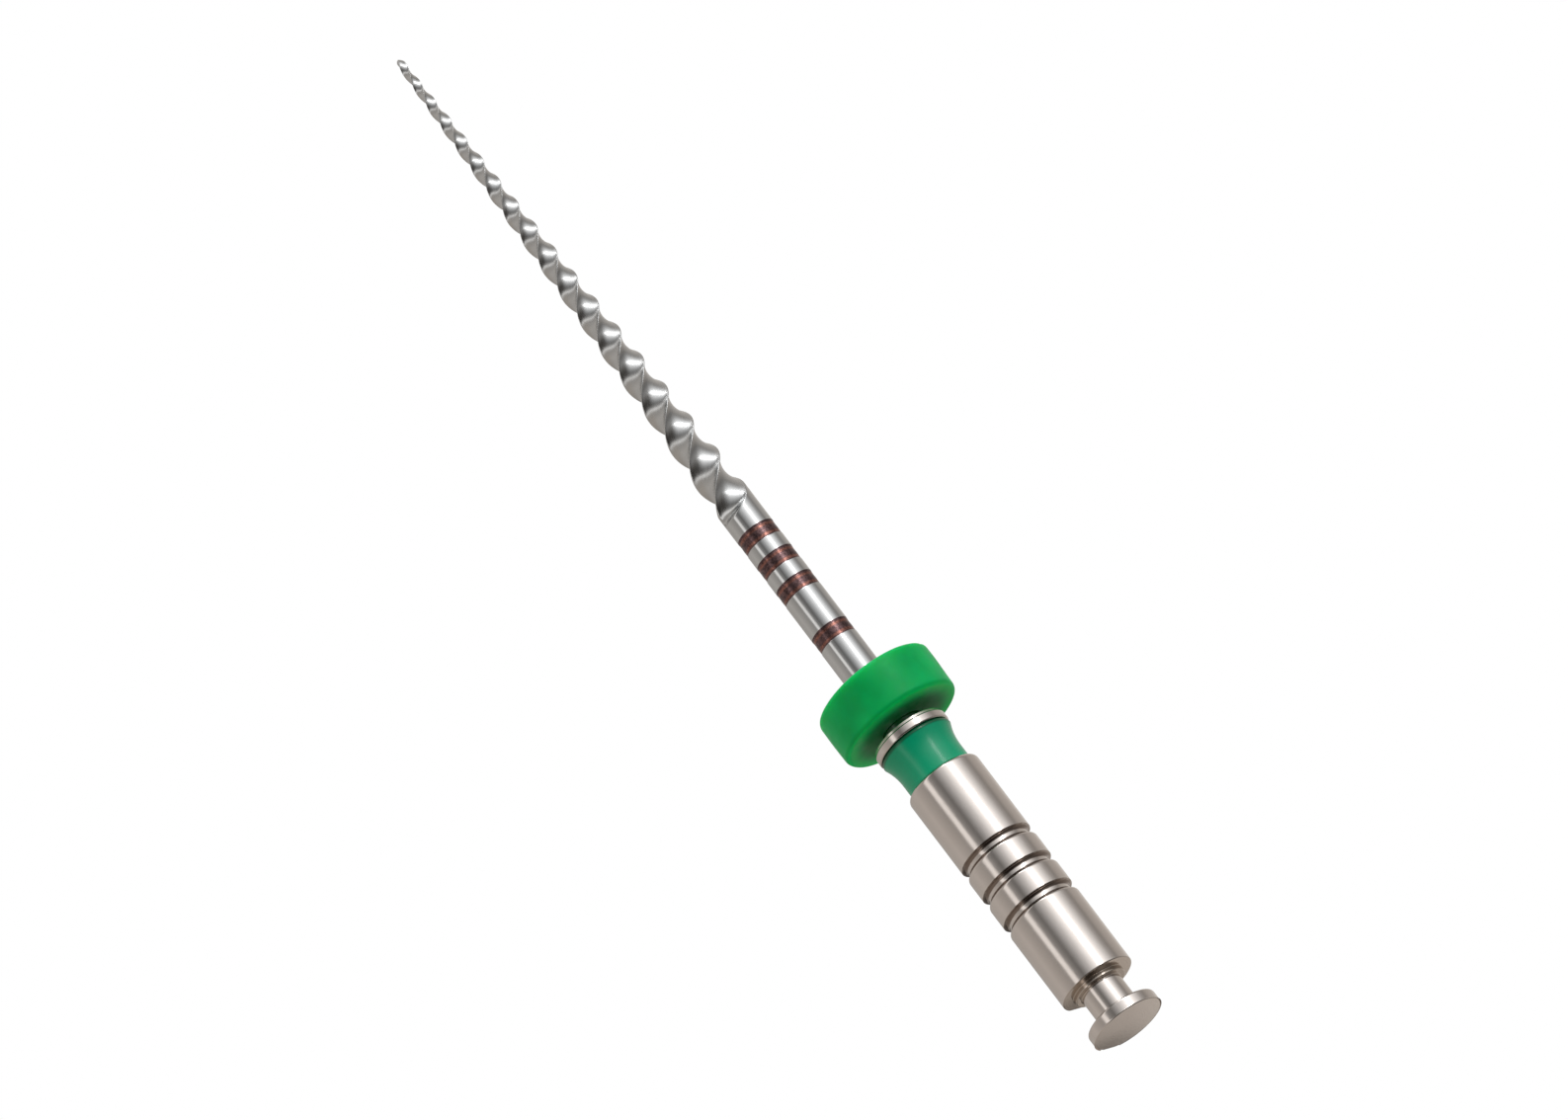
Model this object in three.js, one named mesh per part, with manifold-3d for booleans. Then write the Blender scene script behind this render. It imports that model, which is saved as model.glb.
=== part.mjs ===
// An endodontic file: a fluted nickel-titanium wire pressed into a latch-type handle, with a moulded
// colour ring on the handle's waist and a silicone stopper that slides along the wire.
// Millimetres. The file's axis lies along X: the tip points to -X, and the origin is the centre of the
// flat end of the latch button, which faces +X. The drive flat of the handle faces -Z.
import * as THREE from "three";
import { mergeVertices } from "three/addons/utils/BufferGeometryUtils.js";
import Module from "manifold-3d";

const wasm = await Module();
wasm.setup();

// ---------------------------------------------------------------- driving dimensions

// Wire. Places along it are counted from the tip.
const wireRadius = 0.6;
const workingLength = 25.33; // tip to the front face of the handle
const tipRadius = 0.125;
const noseLength = 0.16; // rounded, non-cutting nose
const taper = 0.06; // growth of the diameter per millimetre of length
const bladeCount = 3;
const sideBulge = 0.6; // middle of a side of the section, as a share of the blades' radius
const leadAtTip = 1.92; // length of one turn of the blades
const leadGrowth = 0.1275; // growth of that length per millimetre
const bladeAngleAtTip = THREE.MathUtils.degToRad(12.4); // of the first blade, from +Y
const runoutEnds = [16.4, 17.2, 16.9]; // where each flute ends, one after the other
const runoutLength = 0.5; // over which the grinding wheel lifts out of a flute
const runoutPower = 3; // the wheel lifts slowly at first, so each flute ends bluntly
const runoutMargin = 0.03; // how far past the wire's surface it lifts
const markPlaces = [18.01, 18.96, 19.91, 21.68]; // centres of the depth marks
const markWidth = 0.48;
const markDepth = 0.012;
const tailLength = 5; // pressed into the handle
const tailChamfer = 0.1;

// Handle. Lengths run from its front face to the end of the latch button.
const shankRadius = 1.175;
const collarLength = 0.34;
const collarRound = 0.08;
const waistWall = 0.238; // round the bore, under the colour ring
const ringSeatLength = 1.35;
const bodyLength = 7.72;
const bodyFrontRound = 0.15;
const edgeBreak = 0.04; // chamfer of every other turned edge
const firstGroove = 2.67; // body's front face to the first groove
const grooveCount = 3;
const groovePitch = 1.035;
const grooveDepth = 0.14;
const grooveFloor = 0.14; // length of the floor
const grooveRamp = 0.2; // length of the sloping wall on the button side
const baseRingRadius = 0.84;
const baseRingLength = 0.15;
const neckRadius = 0.655;
const neckLength = 0.97;
const buttonRadius = 1.1375;
const buttonLength = 0.4;
const flatDepth = 0.095; // of the drive flat, below the round shank
const flatLength = 4; // from the end of the button
const boreClearance = 0.012; // radial, round the tail of the wire
const boreEndRoom = 0.1; // past the end of the tail

// Colour ring, moulded round the waist of the handle.
const ringClearance = 0.01;
const ringWall = 0.145;
const ringLipInset = 0.02; // of the lip against the collar, below the round shank
const ringLipLength = 0.07;
const ringFlareLength = 0.42;

// Stopper.
const stopperRadius = 1.9;
const stopperLength = 1.54;
const stopperRound = 0.18;
const stopperClearance = 0.03; // radial, so that it runs on the wire
const stopperGap = 0.31; // to the handle's front face

const turnedSides = 48;
const wireSides = 24; // a multiple of the blade count
const arcSteps = 3;
const fluteStep = THREE.MathUtils.degToRad(15); // turn of the blades from one station to the next

// ---------------------------------------------------------------- places along the axis, from the tip

const fluteEnd = Math.max(...runoutEnds);
const handleFront = workingLength;
const seatFront = handleFront + collarLength;
const bodyFront = seatFront + ringSeatLength;
const bodyEnd = bodyFront + bodyLength;
const neckFront = bodyEnd + baseRingLength;
const buttonFront = neckFront + neckLength;
const totalLength = buttonFront + buttonLength;

// ---------------------------------------------------------------- radii and rises that follow from them

const runoutRise = wireRadius * (1 - sideBulge) + runoutMargin;
const boreRadius = wireRadius + boreClearance;
const ringSeatRadius = boreRadius + waistWall;
const ringBore = ringSeatRadius + ringClearance;
const ringRadius = ringBore + ringWall;
const ringFlareRadius = shankRadius - ringLipInset;
const flatDistance = shankRadius - flatDepth;

// ---------------------------------------------------------------- tools

// Points of a quarter round that turns from one point to the next about a corner.
function round(from, corner, to) {
  return Array.from({ length: arcSteps + 1 }, (_, i) => {
    const t = (i / arcSteps) * (Math.PI / 2);
    return from.map((start, k) => corner[k] + (start - corner[k]) * (1 - Math.sin(t)) +
      (to[k] - corner[k]) * (1 - Math.cos(t)));
  });
}

// A turned shape: the profile lists [place along the axis from the tip, radius] from tip to end.
function turned(profile, sides = turnedSides) {
  const points = profile.map(([place, radius]) => new THREE.Vector2(radius, place));
  return new THREE.LatheGeometry(points, sides);
}

// Lays a shape that stands on the Y axis down along X, with its end at the origin.
function layDown(geometry) {
  return geometry.rotateZ(-Math.PI / 2).translate(-totalLength, 0, 0);
}

// The solid of a closed geometry.
function toSolid(geometry) {
  const bare = geometry.clone();
  bare.deleteAttribute("normal");
  bare.deleteAttribute("uv");
  const merged = mergeVertices(bare, 1e-4);
  return new wasm.Manifold(new wasm.Mesh({
    numProp: 3,
    vertProperties: merged.attributes.position.array,
    triVerts: new Uint32Array(merged.index.array),
  }));
}

// The geometry of a solid.
function toGeometry(solid) {
  const mesh = solid.getMesh();
  const geometry = new THREE.BufferGeometry();
  geometry.setAttribute("position", new THREE.BufferAttribute(mesh.vertProperties, 3));
  geometry.setIndex(new THREE.BufferAttribute(mesh.triVerts, 1));
  return geometry;
}

function part(name, geometry, color, roughness, metalness) {
  const material = new THREE.MeshStandardMaterial({ color, roughness, metalness });
  const mesh = new THREE.Mesh(geometry, material);
  mesh.name = name;
  return mesh;
}

// ---------------------------------------------------------------- wire

// Radius of the blades at a place: the taper, until it reaches the plain wire.
function bladeRadius(place) {
  const nose = Math.min(place / noseLength, 1);
  const tapered = Math.min(tipRadius + (taper / 2) * place, wireRadius);
  return tapered * Math.sqrt(1 - (1 - nose) ** 2);
}

// Turn of the blades at a place, for a lead that grows evenly along the wire.
function bladeTurn(place) {
  const lead = leadAtTip + leadGrowth * place;
  return bladeAngleAtTip + (2 * Math.PI / leadGrowth) * Math.log(lead / leadAtTip);
}

// The place where the blades have a given turn.
function placeOfTurn(turn) {
  const growth = Math.exp((turn - bladeAngleAtTip) * leadGrowth / (2 * Math.PI));
  return (leadAtTip * growth - leadAtTip) / leadGrowth;
}

// Radius of the section at an angle from the first blade. Each side is a shallow arc from blade to
// blade, and it is lifted out of the wire at the end of its flute.
function sectionRadius(place, angle) {
  const blade = bladeRadius(place);
  const span = 2 * Math.PI / bladeCount;
  const around = (angle + 2 * Math.PI) % (2 * Math.PI);
  const fromMiddle = around % span - span / 2;
  const end = runoutEnds[Math.floor(around / span) % bladeCount];
  const halfChord = Math.sin(span / 2);
  const sagitta = sideBulge - Math.cos(span / 2);
  const arc = (halfChord ** 2 + sagitta ** 2) / (2 * sagitta);
  const centre = arc - sideBulge;
  const side = Math.sqrt(arc ** 2 - (centre * Math.sin(fromMiddle)) ** 2) - centre * Math.cos(fromMiddle);
  const past = Math.max(place - end + runoutLength, 0) / runoutLength;
  return Math.min(blade * side + runoutRise * past ** runoutPower / Math.cos(fromMiddle), blade);
}

// Places of the rings of points along the fluted part.
function flutePlaces() {
  const steps = Math.round((bladeTurn(fluteEnd) - bladeTurn(noseLength)) / fluteStep);
  const nose = [0.04, 0.16, 0.4, 0.7].map((share) => share * noseLength);
  const flutes = Array.from({ length: steps + 1 }, (_, i) => {
    const share = i / steps;
    return placeOfTurn(bladeTurn(noseLength) * (1 - share) + bladeTurn(fluteEnd) * share);
  });
  return [...nose, ...flutes];
}

// The wire starts as a turned rod. Its points are then moved onto the twisted section.
function fileWire() {
  const markRadius = wireRadius - markDepth;
  const marks = markPlaces.flatMap((place) => [
    [place - markWidth / 2, wireRadius],
    [place - markWidth / 2 + markDepth, markRadius],
    [place + markWidth / 2 - markDepth, markRadius],
    [place + markWidth / 2, wireRadius],
  ]);
  const tailEnd = handleFront + tailLength;
  const profile = [
    [0, 0],
    ...flutePlaces().map((place) => [place, wireRadius]),
    ...marks,
    [tailEnd - tailChamfer, wireRadius],
    [tailEnd, wireRadius - tailChamfer],
    [tailEnd, 0],
  ];
  const rod = turned(profile, wireSides);
  const points = rod.attributes.position;
  for (let i = 0; i < points.count; i++) {
    const place = points.getY(i);
    const angle = Math.atan2(points.getX(i), points.getZ(i));
    const distance = Math.hypot(points.getX(i), points.getZ(i));
    const radius = place < fluteEnd ? Math.min(distance, sectionRadius(place, angle)) : distance;
    const turn = angle + bladeTurn(Math.min(place, fluteEnd)) - Math.PI / 2;
    points.setXYZ(i, radius * Math.sin(turn), place, radius * Math.cos(turn));
  }
  return layDown(rod);
}

// ---------------------------------------------------------------- handle

// One turned groove: a steep wall on the tip side, a short floor and a sloping wall.
function groove(start) {
  const floor = shankRadius - grooveDepth;
  return [
    [start, shankRadius],
    [start + edgeBreak / 2, floor],
    [start + grooveFloor, floor],
    [start + grooveFloor + grooveRamp, shankRadius],
  ];
}

function latchShank() {
  const boreEnd = handleFront + tailLength + boreEndRoom;
  const grooves = Array.from({ length: grooveCount }, (_, i) =>
    groove(bodyFront + firstGroove + i * groovePitch)).flat();
  const profile = [
    [boreEnd, 0],
    [boreEnd, boreRadius],
    [handleFront, boreRadius],
    ...round([handleFront, shankRadius - collarRound], [handleFront, shankRadius],
      [handleFront + collarRound, shankRadius]),
    [seatFront - edgeBreak / 2, shankRadius],
    [seatFront, shankRadius - edgeBreak / 2],
    [seatFront, ringSeatRadius],
    [bodyFront, ringSeatRadius],
    ...round([bodyFront, shankRadius - bodyFrontRound], [bodyFront, shankRadius],
      [bodyFront + bodyFrontRound, shankRadius]),
    ...grooves,
    [bodyEnd - edgeBreak, shankRadius],
    [bodyEnd, shankRadius - edgeBreak],
    [bodyEnd, baseRingRadius],
    [neckFront, baseRingRadius],
    [neckFront, neckRadius],
    [buttonFront, neckRadius],
    [buttonFront, buttonRadius - edgeBreak],
    [buttonFront + edgeBreak, buttonRadius],
    [totalLength - edgeBreak, buttonRadius],
    [totalLength, buttonRadius - edgeBreak],
    [totalLength, 0],
  ];
  const blank = toSolid(layDown(turned(profile)));
  return toGeometry(blank.subtract(toSolid(flatCutter())));
}

// The block that leaves the drive flat on the underside of the handle.
function flatCutter() {
  const height = shankRadius;
  const length = 2 * flatLength;
  const cutter = new THREE.BoxGeometry(length, 4 * shankRadius, height);
  return cutter.translate(0, 0, -flatDistance - height / 2);
}

// ---------------------------------------------------------------- colour ring and stopper

function colourRing() {
  const front = seatFront + ringClearance;
  const end = bodyFront - ringClearance;
  const lipEnd = front + ringLipLength;
  return layDown(turned([
    [end, ringBore],
    [front, ringBore],
    [front, ringFlareRadius - edgeBreak],
    [front + edgeBreak / 2, ringFlareRadius],
    ...round([lipEnd, ringFlareRadius], [lipEnd + ringFlareLength / 3, ringRadius],
      [lipEnd + ringFlareLength, ringRadius]),
    [end, ringRadius],
    [end, ringBore],
  ]));
}

function stopper() {
  const end = handleFront - stopperGap;
  const front = end - stopperLength;
  const bore = wireRadius + stopperClearance;
  return layDown(turned([
    [end, bore],
    [front, bore],
    ...round([front, stopperRadius - stopperRound], [front, stopperRadius],
      [front + stopperRound, stopperRadius]),
    ...round([end - stopperRound, stopperRadius], [end, stopperRadius],
      [end, stopperRadius - stopperRound]),
    [end, bore],
  ]));
}

// ---------------------------------------------------------------- assembly

const file = new THREE.Group();
file.add(
  part("file_wire", fileWire(), 0xa9a8a6, 0.28, 1),
  part("latch_shank", latchShank(), 0xb3aca4, 0.25, 1),
  part("colour_ring", colourRing(), 0x14966a, 0.25, 0),
  part("stopper", stopper(), 0x229a4e, 0.6, 0),
);

export default file;
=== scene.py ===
# %% [markdown]
# # An endodontic file round its CAD frame
#
# A rotary file is a thin fluted wire pressed into a latch-type handle, with a moulded colour ring round
# the handle's waist and a silicone stopper that slides along the wire. The CAD model holds its true
# size, and its solids have few facets. Here each piece is made again with a fine surface, exactly where
# the CAD piece is, and gets a finish of its own.
#
# This first cell loads the CAD model, and keeps the model's box. The model's box is kept, because the
# finished pieces have to fill the same box.

# %% Load the frame
import math

import bmesh
import bpy
from mathutils import Matrix, Vector, noise


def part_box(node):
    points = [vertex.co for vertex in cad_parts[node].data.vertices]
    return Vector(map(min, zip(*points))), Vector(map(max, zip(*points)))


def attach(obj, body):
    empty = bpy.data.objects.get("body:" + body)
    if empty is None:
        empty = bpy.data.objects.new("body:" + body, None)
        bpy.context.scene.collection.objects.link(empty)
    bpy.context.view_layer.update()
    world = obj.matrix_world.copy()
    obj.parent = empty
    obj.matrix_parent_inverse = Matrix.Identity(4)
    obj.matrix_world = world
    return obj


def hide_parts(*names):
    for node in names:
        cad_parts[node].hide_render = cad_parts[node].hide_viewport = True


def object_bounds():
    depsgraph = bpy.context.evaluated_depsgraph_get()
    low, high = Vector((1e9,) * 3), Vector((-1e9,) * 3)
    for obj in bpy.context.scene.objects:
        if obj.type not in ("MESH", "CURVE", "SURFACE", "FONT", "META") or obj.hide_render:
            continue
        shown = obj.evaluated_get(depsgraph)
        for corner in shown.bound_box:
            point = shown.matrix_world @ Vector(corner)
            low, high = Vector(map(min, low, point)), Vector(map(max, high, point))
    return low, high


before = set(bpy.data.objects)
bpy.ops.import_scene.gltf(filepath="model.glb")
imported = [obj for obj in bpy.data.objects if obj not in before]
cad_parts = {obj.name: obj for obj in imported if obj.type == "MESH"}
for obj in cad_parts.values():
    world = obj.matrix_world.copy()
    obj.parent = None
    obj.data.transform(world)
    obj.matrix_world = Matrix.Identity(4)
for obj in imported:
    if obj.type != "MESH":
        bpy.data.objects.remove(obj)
cad_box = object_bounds()
scene = bpy.context.scene

# %% [markdown]
# ## Places along the file
#
# The file's axis is the X axis, with the tip at its low end, and the end of the latch button is at the
# origin. A toolmaker counts places from the tip, in millimetres, so the outlines below do too. The
# places where one piece meets another are read from the CAD boxes, so nothing has to be fitted.
#
# Two directions across the axis get names as well: one leads toward the viewer, and the other is at a
# right angle to it and leads up.

# %% Places read from the CAD model
MM = 0.001
TOWARD_VIEWER = Vector((0, -0.753, 0.658))
ABOVE_VIEWER = Vector((0, 0.658, 0.753))
wire_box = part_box("file_wire")
handle_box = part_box("latch_shank")
ring_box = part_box("colour_ring")
stopper_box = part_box("stopper")
tip = wire_box[0].x


def place_of(x):
    """Place along the file of an X coordinate, in mm from the tip."""
    return (x - tip) / MM


handle_front = place_of(handle_box[0].x)
handle_end = place_of(handle_box[1].x)
tail_end = place_of(wire_box[1].x)
shank_radius = handle_box[1].z / MM
ring_front = place_of(ring_box[0].x)
ring_end = place_of(ring_box[1].x)
ring_flare_radius = ring_box[1].z / MM
stopper_front = place_of(stopper_box[0].x)
stopper_end = place_of(stopper_box[1].x)
stopper_radius = stopper_box[1].z / MM
print("handle from", round(handle_front, 3), "to", round(handle_end, 3), "mm")
print("shank radius", round(shank_radius, 4), "mm")

# %% [markdown]
# ## Turning an outline
#
# Every piece here was turned, ground or moulded round one axis, so each starts as an outline that is
# spun. The outline is a chain of straight edges, and the bevel operator rounds its corners before the
# spin, each with its own radius. A long straight edge next to a small round would be shaded as if it
# were bent, so each long edge gets an extra point close to each of its ends. LONG_EDGE and HOLD say, in
# mm, which edges count as long and how close the points are.

# %% A lathe
ROUND_SEGMENTS = 8
HOLD = 0.006
LONG_EDGE = 0.04


def add_holds(bm):
    """Adds a point near both ends of each long edge of an outline."""
    hold = HOLD * MM
    for edge in [e for e in bm.edges if e.calc_length() > LONG_EDGE * MM]:
        near, far = edge.verts
        length = edge.calc_length()
        _, middle = bmesh.utils.edge_split(edge, near, hold / length)
        rest = next(e for e in middle.link_edges if far in e.verts)
        bmesh.utils.edge_split(rest, far, hold / (length - hold))


def lathe(corners, sides, closed=False):
    """Spins an outline of (place, radius, rounding), in mm from the tip, round the file's axis."""
    bm = bmesh.new()
    line = [bm.verts.new((tip + place * MM, 0, radius * MM)) for place, radius, _ in corners]
    following = line[1:] + line[:1] if closed else line[1:]
    for pair in zip(line, following):
        bm.edges.new(pair)
    for vert, (_, _, rounding) in zip(line, corners):
        if rounding:
            bmesh.ops.bevel(bm, geom=[vert], offset=rounding * MM, segments=ROUND_SEGMENTS,
                            profile=0.5, affect="VERTICES", material=-1)
    add_holds(bm)
    bmesh.ops.spin(bm, geom=bm.verts[:] + bm.edges[:], cent=(0, 0, 0), axis=(1, 0, 0),
                   angle=2 * math.pi, steps=sides, use_merge=True)
    bmesh.ops.remove_doubles(bm, verts=bm.verts, dist=1e-8)
    bmesh.ops.recalc_face_normals(bm, faces=bm.faces)
    return bm


def finish_piece(name, bm, material):
    """Makes the object of a finished mesh, shaded smooth, with its material."""
    for face in bm.faces:
        face.smooth = True
    mesh = bpy.data.meshes.new(name)
    bm.to_mesh(mesh)
    bm.free()
    piece = bpy.data.objects.new(name, mesh)
    scene.collection.objects.link(piece)
    mesh.materials.append(material)
    print(name, len(mesh.polygons), "faces")
    return piece


# %% [markdown]
# ## Building a finish
#
# A finish is a small tree of nodes that ends in one Principled shader. The first helper adds a node,
# sets its properties, and fills each of its inputs with either a value or the output of another node.
# The others are the few steps that all the finishes share: patterns, mixtures, smooth steps, and
# distances along the axis and from it.

# %% Helpers for node trees
def add_node(tree, kind, inputs=None, **settings):
    """Adds a node. Each input is a number, a colour or another node's output."""
    node = tree.nodes.new(kind)
    for setting, value in settings.items():
        setattr(node, setting, value)
    for key, value in (inputs or {}).items():
        if isinstance(value, bpy.types.NodeSocket):
            tree.links.new(value, node.inputs[key])
        else:
            node.inputs[key].default_value = value
    return node


def new_finish(name):
    """A material with its Principled shader and the object's own coordinates."""
    material = bpy.data.materials.new(name)
    material.use_nodes = True
    tree = material.node_tree
    shader = tree.nodes["Principled BSDF"]
    place = add_node(tree, "ShaderNodeTexCoord").outputs["Object"]
    return material, tree, shader, place


def stretched(tree, vector, scale):
    """The coordinates times a scale for each axis."""
    return add_node(tree, "ShaderNodeMapping", {"Vector": vector, "Scale": scale}).outputs["Vector"]


def noise_at(tree, vector, scale, detail=2.0):
    """A noise pattern from 0 to 1."""
    inputs = {"Vector": vector, "Scale": scale, "Detail": detail}
    return add_node(tree, "ShaderNodeTexNoise", inputs).outputs["Fac"]


def spread(tree, value, low, high):
    """Maps the middle of a noise pattern to the range from low to high."""
    inputs = {"Value": value, "From Min": 0.3, "From Max": 0.7, "To Min": low, "To Max": high}
    return add_node(tree, "ShaderNodeMapRange", inputs).outputs["Result"]


def mixed(tree, factor, first, second):
    """The first colour where the factor is 0 and the second where it is 1."""
    node = add_node(tree, "ShaderNodeMix", {"Factor": factor}, data_type="RGBA")
    colour_sockets = [socket for socket in node.inputs if socket.type == "RGBA"]
    for socket, colour in zip(colour_sockets, (first, second)):
        if isinstance(colour, bpy.types.NodeSocket):
            tree.links.new(colour, socket)
        else:
            socket.default_value = (*colour, 1)
    return next(socket for socket in node.outputs if socket.type == "RGBA")


def relief(tree, height, depth):
    """A bump from a pattern, with its depth in metres."""
    inputs = {"Height": height, "Distance": depth, "Strength": 1.0}
    return add_node(tree, "ShaderNodeBump", inputs).outputs["Normal"]


def smooth_step(tree, value, start, end, low=0.0, high=1.0):
    """Goes smoothly from low, where the value is at the start, to high, where it is at the end."""
    inputs = {"Value": value, "From Min": start, "From Max": end, "To Min": low, "To Max": high}
    return add_node(tree, "ShaderNodeMapRange", inputs,
                    interpolation_type="SMOOTHSTEP").outputs["Result"]


def sum_of(tree, value, times, plus):
    """A value times a factor, plus something more."""
    return add_node(tree, "ShaderNodeMath", {0: value, 1: times, 2: plus},
                    operation="MULTIPLY_ADD").outputs[0]


def along_axis(tree, place):
    """The X coordinate of a place."""
    return add_node(tree, "ShaderNodeSeparateXYZ", {"Vector": place}).outputs["X"]


def from_axis(tree, place):
    """The distance of a place from the X axis."""
    sideways = add_node(tree, "ShaderNodeVectorMath", {0: place, 1: (0, 1, 1)}, operation="MULTIPLY")
    return add_node(tree, "ShaderNodeVectorMath", {0: sideways.outputs[0]},
                    operation="LENGTH").outputs["Value"]


# %% [markdown]
# ## The wire's finish
#
# The wire is ground from nickel-titanium, a neutral grey alloy. The wheel leaves fine scratches that run
# along the flutes, so this finish reads the wire's unwound position, which the wire's mesh will carry as
# an attribute: a pattern stretched along the straight rod follows each flute once the rod is twisted.
# The depth marks are burnt into the metal with a laser, in two passes side by side, which leaves dark
# brown bands. Along each pass the colour is a lighter copper: partly the burnt tone and partly a painted
# highlight, the sheen that the pass's hollow catches. The marks are in one place each, so the object's
# own X coordinate finds them. A little noise is added to it first, because a burnt edge is never quite
# straight. The ground flutes are rougher than the drawn shaft behind them.

# %% Nickel-titanium
MARK_PLACES = (18.01, 18.96, 19.91, 21.68)
MARK_WIDTH = 0.48
LASER_PASS_OFFSETS = (-0.125, 0.165)
COPPER_HIGHLIGHT_WIDTH = 0.10
MARK_OVERLAP = 0.015
EDGE_WOBBLE = 0.03
FLUTED_UP_TO = (17.1, 16.5)
FLUTE_ROUGHNESS = 0.13
MARK_ROUGHNESS = 0.14
SCRATCH_DEPTH = 0.0000006


def stripes(tree, along, places, half_width, edge):
    """1 within half a width of each place and 0 elsewhere, fading over the edge. Sizes are in mm."""
    mask = 0.0
    for place in places:
        away = add_node(tree, "ShaderNodeMath", {0: along, 1: tip + place * MM}, operation="SUBTRACT")
        away = add_node(tree, "ShaderNodeMath", {0: away.outputs[0]}, operation="ABSOLUTE")
        inside = smooth_step(tree, away.outputs[0], half_width * MM, (half_width - edge) * MM)
        mask = add_node(tree, "ShaderNodeMath", {0: inside, 1: mask}, operation="MAXIMUM").outputs[0]
    return mask


def nickel_titanium():
    """Ground nickel-titanium with laser-burnt depth marks."""
    material, tree, shader, place = new_finish("nickel_titanium_ground")
    unwound = add_node(tree, "ShaderNodeAttribute", attribute_name="unwound").outputs["Vector"]
    scratches = noise_at(tree, stretched(tree, unwound, (900, 30000, 30000)), 1.0, 3.0)
    wobble = noise_at(tree, place, 4000.0, 2.0)
    metal = mixed(tree, noise_at(tree, place, 2500.0, 2.0), (0.555, 0.56, 0.56), (0.605, 0.61, 0.61))
    x = sum_of(tree, wobble, EDGE_WOBBLE * MM, along_axis(tree, place))
    on_marks = stripes(tree, x, MARK_PLACES, MARK_WIDTH / 2 + MARK_OVERLAP, 0.02)
    # Painted highlight: each laser pass is coloured a lighter copper, partly burnt tone and partly the
    # highlight its hollow catches.
    streaks = [mark + offset for mark in MARK_PLACES for offset in LASER_PASS_OFFSETS]
    on_copper_highlight = stripes(tree, x, streaks, COPPER_HIGHLIGHT_WIDTH / 2 + MARK_OVERLAP, COPPER_HIGHLIGHT_WIDTH / 2)
    soot = spread(tree, noise_at(tree, place, 16000.0, 3.0), 0.0, 1.0)
    burnt = mixed(tree, soot, (0.065, 0.04, 0.042), (0.19, 0.115, 0.115))
    copper_and_highlight = mixed(tree, soot, (0.13, 0.056, 0.046), (0.37, 0.17, 0.135))
    oxide_and_highlight = mixed(tree, on_copper_highlight, burnt, copper_and_highlight)
    tree.links.new(mixed(tree, on_marks, metal, oxide_and_highlight), shader.inputs["Base Color"])
    in_flutes = smooth_step(tree, x, *(tip + limit * MM for limit in FLUTED_UP_TO))
    ground = sum_of(tree, in_flutes, FLUTE_ROUGHNESS, spread(tree, scratches, 0.10, 0.17))
    tree.links.new(sum_of(tree, on_marks, MARK_ROUGHNESS, ground), shader.inputs["Roughness"])
    shader.inputs["Metallic"].default_value = 1.0
    tree.links.new(relief(tree, scratches, SCRATCH_DEPTH), shader.inputs["Normal"])
    return material


wire_finish = nickel_titanium()
print(wire_finish.name, len(wire_finish.node_tree.nodes), "nodes")

# %% [markdown]
# ## The fluted wire
#
# The flutes are ground into a tapered rod while it turns, so they are three hollows that wind round it
# and leave three blades. A section through them is a triangle whose sides bulge in the middle and are
# slightly hollow next to the blades. It is drawn a little too large and then kept inside the blades'
# circle, which leaves a narrow land along each blade. Each flute runs out at a place of its own.
#
# The rod is turned first, with many stations along its fluted part. Then each of its points is moved in
# to the section at its place and turned with the blades. That keeps the mesh's lines running along the
# blades, which stay crisp. Points are set closer together near the blades than in the middle of a side.

# %% Sizes of the flutes
WIRE_RADIUS = 0.6
TIP_RADIUS = 0.125
NOSE_LENGTH = 0.16
NOSE_STATIONS = (0.003, 0.01, 0.025, 0.05, 0.085, 0.12)
TAPER = 0.06
BLADES = 3
SIDE_BULGE = 0.6
BULGE_POWER = 2.6
LAND = 0.045
LEAD_AT_TIP = 1.92
LEAD_GROWTH = 0.1275
BLADE_ANGLE_AT_TIP = math.radians(12.4)
RUNOUT_ENDS = (16.4, 17.2, 16.9)
RUNOUT_LENGTH = 0.5
RUNOUT_POWER = 3
RUNOUT_RISE = WIRE_RADIUS * (1 - SIDE_BULGE) + 0.03
FLUTE_END = max(RUNOUT_ENDS)
FLUTE_STATIONS = 480
WIRE_SIDES = 108
EDGE_GATHER = 1.6
TAIL_CHAMFER = 0.1


def blade_radius(place):
    """Radius of the blades, which taper to a rounded nose."""
    nose = min(place / NOSE_LENGTH, 1)
    tapered = min(TIP_RADIUS + TAPER / 2 * place, WIRE_RADIUS)
    return tapered * math.sqrt(1 - (1 - nose) ** 2)


def blade_turn(place):
    """Angle of the first blade. The lead grows evenly along the wire."""
    lead = LEAD_AT_TIP + LEAD_GROWTH * place
    return BLADE_ANGLE_AT_TIP + 2 * math.pi / LEAD_GROWTH * math.log(lead / LEAD_AT_TIP)


def side_radius(place, side, angle):
    """Radius of the section on one side, where angle is measured from the middle of that side."""
    flat = math.cos(math.pi / BLADES)
    across = max(-1, min(math.tan(angle) / math.tan(math.pi / BLADES), 1))
    bulge = (SIDE_BULGE / (1 + LAND) - flat) * (1 - across ** 2) ** BULGE_POWER
    share = (flat + bulge) / math.cos(angle)
    lift_out = RUNOUT_ENDS[side % BLADES] - RUNOUT_LENGTH
    past = max(place - lift_out, 0) / RUNOUT_LENGTH
    blade = blade_radius(place)
    ground = blade * (1 + LAND) * share + RUNOUT_RISE * past ** RUNOUT_POWER / math.cos(angle)
    return min(ground, blade)


print("blades reach their full width", round((WIRE_RADIUS - TIP_RADIUS) / TAPER * 2, 2), "mm from the tip")

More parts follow.
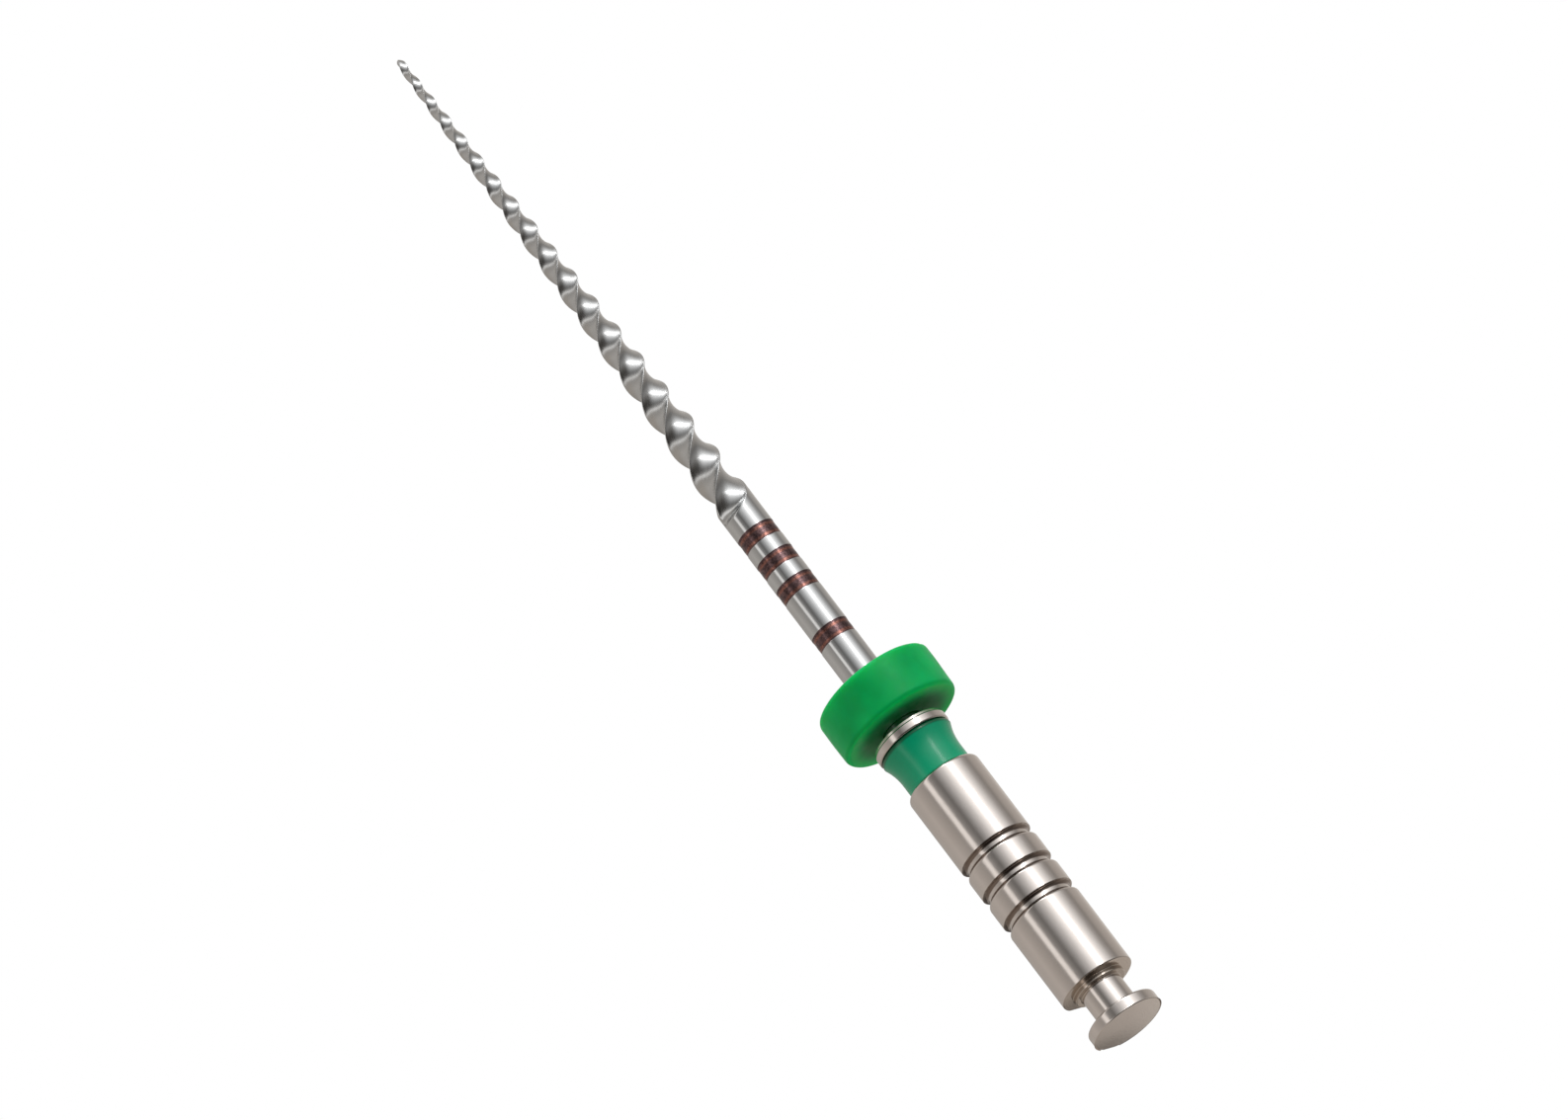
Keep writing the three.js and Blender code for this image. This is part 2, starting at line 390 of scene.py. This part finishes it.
# %% Model the wire
def mark_corners():
    """The depth marks: two shallow hollows side by side, one for each pass of the laser."""
    corners = []
    half = MARK_WIDTH / 2
    edge, ridge, floor = WIRE_RADIUS - 0.006, WIRE_RADIUS - 0.005, WIRE_RADIUS - 0.014
    for mark in MARK_PLACES:
        first, second = (mark + offset for offset in LASER_PASS_OFFSETS)
        corners += [(mark - half, WIRE_RADIUS, 0.003), (mark - half + 0.01, edge, 0),
                    (first, floor, 0.06), ((first + second) / 2, ridge, 0.06), (second, floor, 0.04),
                    (mark + half - 0.01, edge, 0), (mark + half, WIRE_RADIUS, 0.003)]
    return corners


def wind_flutes(bm):
    """Moves a turned rod's points onto the twisted section, and keeps where each point was before."""
    unwound = bm.verts.layers.float_vector.new("unwound")
    span = 2 * math.pi / BLADES
    for vert in bm.verts:
        place = place_of(vert.co.x)
        radius = math.hypot(vert.co.y, vert.co.z) / MM
        angle = math.atan2(vert.co.z, vert.co.y)
        side = math.floor(angle / span + 1e-6)
        share = (angle - side * span) / span * 2 - 1
        gathered = math.copysign(1 - (1 - min(abs(share), 1)) ** EDGE_GATHER, share) * span / 2
        angle = (side + 0.5) * span + gathered
        if place < FLUTE_END:
            radius = min(radius, side_radius(place, side, gathered))
        vert[unwound] = (vert.co.x, radius * MM * math.cos(angle), radius * MM * math.sin(angle))
        angle += blade_turn(min(place, FLUTE_END))
        vert.co.y = radius * MM * math.cos(angle)
        vert.co.z = radius * MM * math.sin(angle)


def fluted_wire():
    """The whole wire, from its nose to the end of the tail in the handle."""
    nose = [(0, 0, 0), *[(place, WIRE_RADIUS, 0) for place in NOSE_STATIONS]]
    pitch = (FLUTE_END - NOSE_LENGTH) / FLUTE_STATIONS
    flutes = [(NOSE_LENGTH + i * pitch, WIRE_RADIUS, 0) for i in range(FLUTE_STATIONS + 1)]
    tail = [(tail_end - TAIL_CHAMFER, WIRE_RADIUS, 0), (tail_end, WIRE_RADIUS - TAIL_CHAMFER, 0),
            (tail_end, 0, 0)]
    bm = lathe(nose + flutes + mark_corners() + tail, WIRE_SIDES)
    wind_flutes(bm)
    bmesh.ops.recalc_face_normals(bm, faces=bm.faces)
    return finish_piece("fluted_wire", bm, wire_finish)


wire = fluted_wire()
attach(wire, "file")
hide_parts("file_wire")

# %% [markdown]
# ## The handle's finish
#
# The handle is turned and then nickel-plated, which gives a slightly warm metal with a soft gloss. The
# plating is never quite even, so the colour and the gloss drift a little, and the surface has a very
# slight orange peel. The end faces still show the rings that the turning tool left, as a bump that
# changes only with the distance from the axis. The front corner of each groove and the corner behind
# the body get a brown tint that is painted shade, the darkness that falls in those narrow corners. Their
# place along the axis finds them, so the painted shade goes all the way round.

# %% Plated nickel
COLLAR_LENGTH = 0.34
SEAT_LENGTH = 1.35
GROOVES = 3
GROOVE_PITCH = 1.035
body_front = handle_front + COLLAR_LENGTH + SEAT_LENGTH
FIRST_GROOVE_BEHIND_BODY_FRONT = 2.67
NECK_CORNER_BEFORE_END = 1.43
GROOVE_CORNER = 0.065
GROOVE_PAINTED_SHADE = (0.068, 0.035)
NECK_PAINTED_SHADE = (0.12, 0.05)
PEEL_DEPTH = 0.0000008
TURNING_DEPTH = 0.0000007
first_groove = body_front + FIRST_GROOVE_BEHIND_BODY_FRONT
neck_corner = handle_end - NECK_CORNER_BEFORE_END


def plated_nickel():
    """Nickel plating over turned metal."""
    material, tree, shader, place = new_finish("nickel_plate")
    drift = noise_at(tree, place, 1400.0, 2.0)
    peel = noise_at(tree, stretched(tree, place, (0.5, 1, 1)), 9000.0, 2.0)
    x = sum_of(tree, peel, EDGE_WOBBLE * MM, along_axis(tree, place))
    # Painted shade: the front corner of each groove and the corner at the neck are darkened in the base
    # colour.
    corners = [first_groove + i * GROOVE_PITCH + GROOVE_CORNER for i in range(GROOVES)]
    shade_in_groove_corner = stripes(tree, x, corners, *GROOVE_PAINTED_SHADE)
    shade_at_neck = stripes(tree, x, [neck_corner], *NECK_PAINTED_SHADE)
    plate = mixed(tree, drift, (0.665, 0.61, 0.57), (0.705, 0.65, 0.615))
    plate = mixed(tree, shade_in_groove_corner, plate, (0.25, 0.20, 0.17))
    tree.links.new(mixed(tree, shade_at_neck, plate, (0.55, 0.48, 0.42)), shader.inputs["Base Color"])
    tree.links.new(spread(tree, noise_at(tree, place, 5000.0, 3.0), 0.14, 0.18),
                   shader.inputs["Roughness"])
    shader.inputs["Metallic"].default_value = 1.0
    inputs = {"W": from_axis(tree, place), "Scale": 26000.0, "Detail": 1.0}
    rings = add_node(tree, "ShaderNodeTexNoise", inputs, noise_dimensions="1D").outputs["Fac"]
    inputs = {"Height": rings, "Distance": TURNING_DEPTH, "Strength": 1.0,
              "Normal": relief(tree, peel, PEEL_DEPTH)}
    tree.links.new(add_node(tree, "ShaderNodeBump", inputs).outputs["Normal"], shader.inputs["Normal"])
    return material


handle_finish = plated_nickel()
print(handle_finish.name, len(handle_finish.node_tree.nodes), "nodes")

# %% [markdown]
# ## The handle
#
# The handle is turned from one bar: a thin collar with a fine lip at the front, a waist for the colour
# ring, the round shank with three grooves, and the neck and button that the handpiece's latch holds.
# The end faces aren't quite flat: the body's is a very flat cone and the button's a very flat dome. A
# flat is milled along the last four millimetres to drive it. A milled edge is crisp, so after the cut
# each edge that turns sharply is marked sharp, and the rest stay smooth.

# %% Sizes of the handle
SHANK_SIDES = 192
SEAT_RADIUS = 0.85
BORE_RADIUS = 0.612
BORE_END = tail_end + 0.1
COLLAR_LIP_LENGTH = 0.10
COLLAR_LIP_STEP = 0.085
COLLAR_LIP_RADIUS = shank_radius - 0.035
COLLAR_LIP_TOP_RADIUS = shank_radius - 0.03
GROOVE_DEPTH = 0.14
GROOVE_WALL = 0.012
GROOVE_FLOOR_END = 0.23
GROOVE_FLOOR_RISE = 0.01
GROOVE_WIDTH = 0.335
BUTTON_LENGTH = 0.4
NECK_LENGTH = 0.97
BASE_RING_LENGTH = 0.15
BASE_RING_RADIUS = 0.84
END_CONE = 0.015
NECK_RADIUS = 0.655
BUTTON_RADIUS = 1.1375
BUTTON_DOME = 0.03
DOME_STEPS = 36
FLAT_LENGTH = 4.0
FLAT_DISTANCE = 1.08
SHARP_TURN = math.radians(28)
print("body from", round(body_front, 3), "and its first groove from", round(first_groove, 3), "mm")


def groove_corners(start):
    """A turned groove: a steep wall, a narrow floor and a shoulder that rolls back to the surface."""
    floor = shank_radius - GROOVE_DEPTH
    return [(start, shank_radius, 0.012), (start + GROOVE_WALL, floor, 0.11),
            (start + GROOVE_FLOOR_END, floor + GROOVE_FLOOR_RISE, 0.04),
            (start + GROOVE_WIDTH, shank_radius, 0.05)]


def handle_corners():
    """The handle's whole outline, from the end of the bore round to the button's end face."""
    front, radius = handle_front, shank_radius
    seat = front + COLLAR_LENGTH
    button = handle_end - BUTTON_LENGTH
    neck = button - NECK_LENGTH
    base = neck - BASE_RING_LENGTH
    grooves = [corner for i in range(GROOVES)
               for corner in groove_corners(first_groove + i * GROOVE_PITCH)]
    shares = [1 - i / DOME_STEPS for i in range(1, DOME_STEPS + 1)]
    dome = [(handle_end - BUTTON_DOME * share ** 2, BUTTON_RADIUS * share, 0) for share in shares]
    return [
        (BORE_END, 0, 0), (BORE_END, BORE_RADIUS, 0), (front, BORE_RADIUS, 0.02),
        (front, COLLAR_LIP_RADIUS, 0.008), (front + COLLAR_LIP_STEP, COLLAR_LIP_TOP_RADIUS, 0.006),
        (front + COLLAR_LIP_LENGTH, radius, 0.02),
        (seat, radius, 0.05), (seat, SEAT_RADIUS, 0),
        (body_front, SEAT_RADIUS, 0), (body_front, radius, 0.14), *grooves,
        (base - END_CONE, radius, 0.03),
        (base, BASE_RING_RADIUS, 0.02), (neck, BASE_RING_RADIUS, 0.03), (neck, NECK_RADIUS, 0.03),
        (button, NECK_RADIUS, 0.05), (button, BUTTON_RADIUS, 0.08),
        (handle_end - BUTTON_DOME, BUTTON_RADIUS, 0.035), *dome]


# %% Model the handle and mill its flat
def cut_with(piece, cutter):
    """Cuts one object out of another with a Boolean, and keeps the result as the piece's mesh."""
    cut = piece.modifiers.new("cut", "BOOLEAN")
    cut.operation = "DIFFERENCE"
    cut.solver = "EXACT"
    cut.object = cutter
    bpy.context.view_layer.update()
    shaped = bpy.data.meshes.new_from_object(piece.evaluated_get(bpy.context.evaluated_depsgraph_get()))
    piece.modifiers.clear()
    shaped.name = piece.name
    piece.data = shaped
    bpy.data.objects.remove(cutter)


def flat_cutter():
    """A block below the handle whose top is the drive flat."""
    bm = bmesh.new()
    bmesh.ops.create_cube(bm, size=1)
    bmesh.ops.scale(bm, verts=bm.verts, vec=(2 * FLAT_LENGTH * MM, 4 * MM, 2 * MM))
    bmesh.ops.translate(bm, verts=bm.verts, vec=(0, 0, -(FLAT_DISTANCE + 1) * MM))
    return finish_piece("flat_cutter", bm, handle_finish)


def sharpen(mesh):
    """Marks each edge that turns by more than SHARP_TURN as sharp."""
    bm = bmesh.new()
    bm.from_mesh(mesh)
    for edge in bm.edges:
        edge.smooth = len(edge.link_faces) == 2 and edge.calc_face_angle() < SHARP_TURN
    bm.to_mesh(mesh)
    bm.free()


handle = finish_piece("latch_handle", lathe(handle_corners(), SHANK_SIDES), handle_finish)
cut_with(handle, flat_cutter())
sharpen(handle.data)
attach(handle, "file")
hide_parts("latch_shank")

# %% [markdown]
# ## The colour ring
#
# The ring is a thin sleeve of hard plastic, moulded round the handle's waist. It flares out to the
# collar at its front and is a plain tube behind. Its green tells the dentist the size of the file.
# Little light gets in between its front lip and the collar, so the lip is tinted darker.

# %% Ring plastic
RING_LIP_PAINTED_SHADE = (0.16, 0.08)
PLASTIC_DEPTH = 0.0000012


def ring_plastic():
    """Glossy moulded plastic."""
    material, tree, shader, place = new_finish("ring_plastic_green")
    cloud = noise_at(tree, place, 1500.0, 2.0)
    # Painted shade: the front lip is darkened where little light gets in next to the collar.
    shade_at_lip = stripes(tree, along_axis(tree, place), [ring_front], *RING_LIP_PAINTED_SHADE)
    green = mixed(tree, cloud, (0.0, 0.415, 0.195), (0.0, 0.465, 0.23))
    tree.links.new(mixed(tree, shade_at_lip, green, (0.0, 0.12, 0.05)), shader.inputs["Base Color"])
    tree.links.new(spread(tree, noise_at(tree, place, 6000.0, 2.0), 0.21, 0.26),
                   shader.inputs["Roughness"])
    shader.inputs["IOR"].default_value = 1.55
    shader.inputs["Specular IOR Level"].default_value = 0.4
    bump = relief(tree, noise_at(tree, place, 5000.0, 1.0), PLASTIC_DEPTH)
    tree.links.new(bump, shader.inputs["Normal"])
    return material


ring_finish = ring_plastic()
print(ring_finish.name, len(ring_finish.node_tree.nodes), "nodes")

# %% Turn the ring
RING_BORE = 0.86
RING_RADIUS = 1.005
RING_LIP_GAP = 0.005
FLARE_START = 0.10
FLARE_LENGTH = 0.75
FLARE_STEPS = 30
FLARE_STEP = 0.025
FLARE_POWER = 2.2


def flare(past):
    """Radius of the ring where it flares out to the collar, past the start of the flare."""
    share = past / FLARE_LENGTH
    return RING_RADIUS + (ring_flare_radius - RING_RADIUS) * max(1 - share, 0) ** FLARE_POWER


flare_corners = [(ring_front + FLARE_START + i * FLARE_STEP, flare(i * FLARE_STEP), 0)
                 for i in range(FLARE_STEPS + 1)]
ring_corners = [(ring_end, RING_BORE, 0.01), (ring_front, RING_BORE, 0.01),
                (ring_front, ring_flare_radius - RING_LIP_GAP, 0.08), *flare_corners,
                (ring_end, RING_RADIUS, 0.03)]
ring = finish_piece("colour_band", lathe(ring_corners, SHANK_SIDES, closed=True), ring_finish)
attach(ring, "file")
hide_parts("colour_ring")

# %% [markdown]
# ## The stopper
#
# The stopper is a small drum of silicone rubber. It grips the wire, and the dentist slides it to mark
# how deep the file may go. Soft rubber leaves its mould with rounded rims that are never quite true. So
# the drum's points are moved: its side drifts by a few hundredths of a millimetre with a slow noise, its
# front face leans by a tenth of one, and one small nick is pressed into the front rim. The surface is
# matt and lets a little light in. Its colour is painted paler on its flat faces, as painted light, and
# darker towards the bore, as painted shade, so the colour changes with the distance from the axis.

# %% Silicone
PAINTED_SHADE_NEAR_BORE = (1.7, 1.15)
PAINTED_LIGHT_ON_FACE = (1.86, 1.80)
RUBBER_DEPTH = 0.000003


def silicone():
    """Matt silicone rubber with a little light under its surface."""
    material, tree, shader, place = new_finish("silicone_green")
    cloud = spread(tree, noise_at(tree, place, 900.0, 3.0), 0.0, 1.0)
    green = mixed(tree, cloud, (0.0, 0.445, 0.11), (0.002, 0.59, 0.155))
    # Painted light and shade: the colour is paler on the flat faces and darker towards the bore.
    radius = from_axis(tree, place)
    shade_near_bore = smooth_step(tree, radius, *(limit * MM for limit in PAINTED_SHADE_NEAR_BORE))
    light_on_face = smooth_step(tree, radius, *(limit * MM for limit in PAINTED_LIGHT_ON_FACE))
    green_with_painted_light = mixed(tree, light_on_face, green, (0.002, 0.74, 0.19))
    tree.links.new(mixed(tree, shade_near_bore, green_with_painted_light, (0.0, 0.32, 0.08)), shader.inputs["Base Color"])
    tree.links.new(spread(tree, noise_at(tree, place, 3000.0, 2.0), 0.34, 0.46),
                   shader.inputs["Roughness"])
    shader.inputs["Subsurface Weight"].default_value = 0.85
    shader.inputs["Subsurface Radius"].default_value = (0.15, 1.0, 0.4)
    shader.inputs["Subsurface Scale"].default_value = 0.0009
    shader.inputs["IOR"].default_value = 1.42
    shader.inputs["Specular IOR Level"].default_value = 0.18
    bump = relief(tree, noise_at(tree, place, 6000.0, 2.0), RUBBER_DEPTH)
    tree.links.new(bump, shader.inputs["Normal"])
    return material


silicone_finish = silicone()
print(silicone_finish.name, len(silicone_finish.node_tree.nodes), "nodes")

# %% Shape the stopper
STOPPER_BORE = 0.63
STOPPER_ROUND = 0.15
STOPPER_SIDES = 240
SIDE_WEAR = 0.012
MEAN_WEAR = 0.6
DRIFT_SCALE = 0.9
RIM_INSIDE = 1.2
RIM_WIDTH = 0.7
FACE_LEAN = 0.05
NICK_RADIUS = 1.86
NICK_AT = Vector((0, 0.44, 0.9)) * NICK_RADIUS
NICK_SIZE = 0.10
NICK_DEPTH = 0.05


def untrue(bm):
    """Moves the drum's points a little, as soft rubber that has left its mould."""
    length = stopper_end - stopper_front
    for vert in bm.verts:
        place = place_of(vert.co.x)
        toward_front = (stopper_end - place) / length
        sideways = Vector((0, vert.co.y, vert.co.z)) / MM
        drift = noise.noise(Vector((place, sideways.y, sideways.z)) * DRIFT_SCALE)
        outer = max(sideways.length - RIM_INSIDE, 0) / RIM_WIDTH
        vert.co.yz *= 1 - SIDE_WEAR * outer * (MEAN_WEAR + drift)
        lean = 1 - sideways.dot(ABOVE_VIEWER) / stopper_radius
        vert.co.x += FACE_LEAN * MM * lean * toward_front
        near_nick = (sideways - NICK_AT).length + abs(place - stopper_front)
        pressed = math.exp(-(near_nick / NICK_SIZE) ** 2)
        vert.co.x += NICK_DEPTH * MM * pressed
        vert.co.yz *= 1 - NICK_DEPTH / stopper_radius * pressed


def slide_stop():
    """The drum, rounded at both rims and a little untrue."""
    sides = [stopper_front + (stopper_end - stopper_front) * share / 8 for share in range(2, 7)]
    faces = [STOPPER_BORE + (stopper_radius - STOPPER_BORE) * share / 8 for share in range(1, 7)]
    corners = [(stopper_end, STOPPER_BORE, 0.04), (stopper_front, STOPPER_BORE, 0.04),
               *[(stopper_front, radius, 0) for radius in faces],
               (stopper_front, stopper_radius, STOPPER_ROUND),
               *[(place, stopper_radius, 0) for place in sides],
               (stopper_end, stopper_radius, STOPPER_ROUND),
               *[(stopper_end, radius, 0) for radius in reversed(faces)]]
    bm = lathe(corners, STOPPER_SIDES, closed=True)
    untrue(bm)
    bmesh.ops.recalc_face_normals(bm, faces=bm.faces)
    return finish_piece("slide_stop", bm, silicone_finish)


stop = slide_stop()
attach(stop, "stopper")
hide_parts("stopper")

# %% [markdown]
# ## The studio
#
# Polished metal shows little of its own colour: it shows the room. So the room is drawn with care, as
# bands of light that run along the file: a softbox overhead with a hot core, a dark side where the
# viewer stands, a thin bright strip below that and a pale warm table underneath. The bands are laid
# round the file's axis by angle, starting from the viewer's side.
#
# There are two sets of bands, with a soft change between them. The first lies toward the tip, and the
# straight sides of the wire and the handle mirror it. The second lies toward the handle's end, and
# surfaces that turn that way mirror it. Closer to the axis, past the handle's end, the room is dark
# above the table, which puts dark lines into the rounded corners of the grooves and the neck. A pale
# wall closes that end. One dark spot, low down on the far side, is what the lower half of the button's
# end face mirrors.

# %% Bands of light
ROOM_BRIGHTNESS = 10.0
MIDDLE_BANDS = (
    (-180, 0.42, 0.88), (-126, 0.50, 0.88), (-98, 0.56, 0.88), (-70, 0.44, 0.88), (-52, 0.36, 0.90),
    (-47, 1.10, 0.95), (-38, 1.10, 0.95), (-32, 0.33, 0.95), (-14, 0.17, 0.95), (0, 0.44, 1.0),
    (14, 0.78, 1.0), (28, 1.30, 1.0), (36, 1.70, 1.0), (40, 2.80, 1.0), (41, 10.0, 1.0), (44, 10.0, 1.0),
    (45, 2.80, 1.0), (49, 1.70, 1.0), (58, 1.25, 1.0), (70, 0.84, 1.0), (84, 0.46, 0.95),
    (98, 0.30, 0.90), (112, 0.46, 0.88), (140, 0.56, 0.88), (160, 0.72, 0.88), (180, 0.42, 0.88),
)
HANDLE_END_BANDS = (
    (-180, 0.46, 0.83), (-140, 0.38, 0.83), (-90, 0.48, 0.80), (-52, 0.40, 0.85), (-47, 1.10, 0.95),
    (-39, 1.10, 0.95), (-33, 0.12, 0.90), (-20, 0.05, 0.80), (8, 0.05, 0.80), (20, 0.13, 0.85),
    (34, 0.20, 0.90), (50, 0.34, 0.95), (64, 0.30, 0.95), (82, 0.20, 0.95), (98, 0.20, 0.90),
    (120, 0.34, 0.85), (150, 0.46, 0.85), (178, 0.60, 0.85), (180, 0.46, 0.83),
)
TO_HANDLE_END = (-0.3, 0.25)
PAST_HANDLE = (0.62, 0.85)
PAST_HANDLE_LIGHT = 0.06
ABOVE_TABLE = (-0.55, -0.35)
END_WALL = (0.93, 0.98)
END_LIGHT = (0.051, 0.048, 0.045)
DARK_SPOT = Vector((0.227, 0.534, -0.8145))
DARK_SPOT_EDGE = (0.9632, 0.9686)
DARK_SPOT_LIGHT = 0.33


def light_bands(tree, share, bands):
    """A ramp of light by the angle round the file, from bands of (degrees, brightness, warmth)."""
    ramp = add_node(tree, "ShaderNodeValToRGB", {"Fac": share})
    elements = ramp.color_ramp.elements
    for _ in range(len(bands) - len(elements)):
        elements.new(0.5)
    for element, (degrees, _, _) in zip(elements, bands):
        element.position = degrees / 360 + 0.5
    for element, (_, brightness, warmth) in zip(elements, bands):
        level = brightness / ROOM_BRIGHTNESS
        element.color = (level, level * (1 + warmth) / 2, level * warmth, 1)
    return ramp.outputs["Color"]


print("studio with", len(MIDDLE_BANDS), "and", len(HANDLE_END_BANDS), "bands")


# %% Draw the room
def part_along(tree, direction, axis):
    """How much of a direction points along an axis."""
    return add_node(tree, "ShaderNodeVectorMath", {0: direction, 1: axis},
                    operation="DOT_PRODUCT").outputs["Value"]


def dimmed(tree, light, factor):
    """A light times a factor."""
    return add_node(tree, "ShaderNodeVectorMath", {0: light, "Scale": factor},
                    operation="SCALE").outputs[0]


def studio_room():
    """A world whose light depends on the angle round the file's axis and on the end it comes from."""
    world = bpy.data.worlds.new("studio_room")
    scene.world = world
    world.use_nodes = True
    tree = world.node_tree
    direction = add_node(tree, "ShaderNodeTexCoord").outputs["Generated"]
    up = part_along(tree, direction, ABOVE_VIEWER)
    out = part_along(tree, direction, TOWARD_VIEWER)
    angle = add_node(tree, "ShaderNodeMath", {0: up, 1: out}, operation="ARCTAN2").outputs[0]
    share = sum_of(tree, angle, 1 / (2 * math.pi), 0.5)
    along = along_axis(tree, direction)
    light = mixed(tree, smooth_step(tree, along, *TO_HANDLE_END),
                  light_bands(tree, share, MIDDLE_BANDS), light_bands(tree, share, HANDLE_END_BANDS))
    lowest = smooth_step(tree, up, *ABOVE_TABLE, 1.0, PAST_HANDLE_LIGHT)
    light = dimmed(tree, light, smooth_step(tree, along, *PAST_HANDLE, 1.0, lowest))
    to_spot = part_along(tree, direction, DARK_SPOT)
    light = dimmed(tree, light, smooth_step(tree, to_spot, *DARK_SPOT_EDGE, 1.0, DARK_SPOT_LIGHT))
    light = mixed(tree, smooth_step(tree, along, *END_WALL), light, END_LIGHT)
    background = tree.nodes["Background"]
    tree.links.new(light, background.inputs["Color"])
    background.inputs["Strength"].default_value = ROOM_BRIGHTNESS


studio_room()
scene.view_settings.view_transform = "Standard"
print("room", scene.world.name, "with", len(scene.world.node_tree.nodes), "nodes")

# %% [markdown]
# ## The floor and the backdrop
#
# The file floats over a plain white floor inside a white dome. Both are only for the camera to see, and
# shine white by themselves, so they throw no light on the file and the file throws no shadow on them.

# %% Floor and dome
FLOOR_DROP = 60 * MM
FLOOR_SIZE = 1.4
DOME_RADIUS = 1.0


def plain_white():
    """A white that is the same from every side."""
    material = bpy.data.materials.new("studio_white")
    material.use_nodes = True
    shader = material.node_tree.nodes["Principled BSDF"]
    shader.inputs["Base Color"].default_value = (0, 0, 0, 1)
    shader.inputs["Specular IOR Level"].default_value = 0
    shader.inputs["Emission Color"].default_value = (1, 1, 1, 1)
    shader.inputs["Emission Strength"].default_value = 1.0
    return material


def for_the_camera_only(piece):
    """Hides a piece of the studio from every ray but the camera's."""
    piece.visible_diffuse = False
    piece.visible_glossy = False
    piece.visible_transmission = False
    piece.visible_volume_scatter = False
    piece.visible_shadow = False


white = plain_white()
centre = (cad_box[0] + cad_box[1]) / 2
floor_mesh = bmesh.new()
bmesh.ops.create_grid(floor_mesh, x_segments=1, y_segments=1, size=FLOOR_SIZE / 2)
bmesh.ops.translate(floor_mesh, verts=floor_mesh.verts, vec=centre - Vector((0, 0, FLOOR_DROP)))
for_the_camera_only(finish_piece("studio_floor", floor_mesh, white))
dome_mesh = bmesh.new()
bmesh.ops.create_icosphere(dome_mesh, subdivisions=4, radius=DOME_RADIUS)
bmesh.ops.translate(dome_mesh, verts=dome_mesh.verts, vec=centre)
for_the_camera_only(finish_piece("studio_dome", dome_mesh, white))

# %% [markdown]
# ## The camera
#
# The camera looks down on the file from in front and to the right, and is tilted so that the file runs
# across the picture from corner to corner. The view is orthographic, as a close-up from far away nearly
# is, so the file's two ends have the same scale.

# %% Camera
CAMERA_AZIMUTH = math.radians(25.15)
CAMERA_ELEVATION = math.radians(38.34)
CAMERA_ROLL = math.radians(36.63)
AIM = Vector((-17.41, 0.27, -0.01)) * MM
VIEW_WIDTH = 44.29 * MM
CAMERA_DISTANCE = 0.3

camera_data = bpy.data.cameras.new("camera")
camera_data.type = "ORTHO"
camera_data.ortho_scale = VIEW_WIDTH
camera = bpy.data.objects.new("camera", camera_data)
scene.collection.objects.link(camera)
back = Vector((math.sin(CAMERA_AZIMUTH) * math.cos(CAMERA_ELEVATION),
               -math.cos(CAMERA_AZIMUTH) * math.cos(CAMERA_ELEVATION), math.sin(CAMERA_ELEVATION)))
look = (-back).to_track_quat("-Z", "Y").to_matrix().to_4x4() @ Matrix.Rotation(CAMERA_ROLL, 4, "Z")
camera.matrix_world = Matrix.Translation(AIM + back * CAMERA_DISTANCE) @ look
camera_data.clip_start = CAMERA_DISTANCE / 100
camera_data.clip_end = CAMERA_DISTANCE * 10
scene.camera = camera
print("camera looks from", [round(part, 3) for part in back])
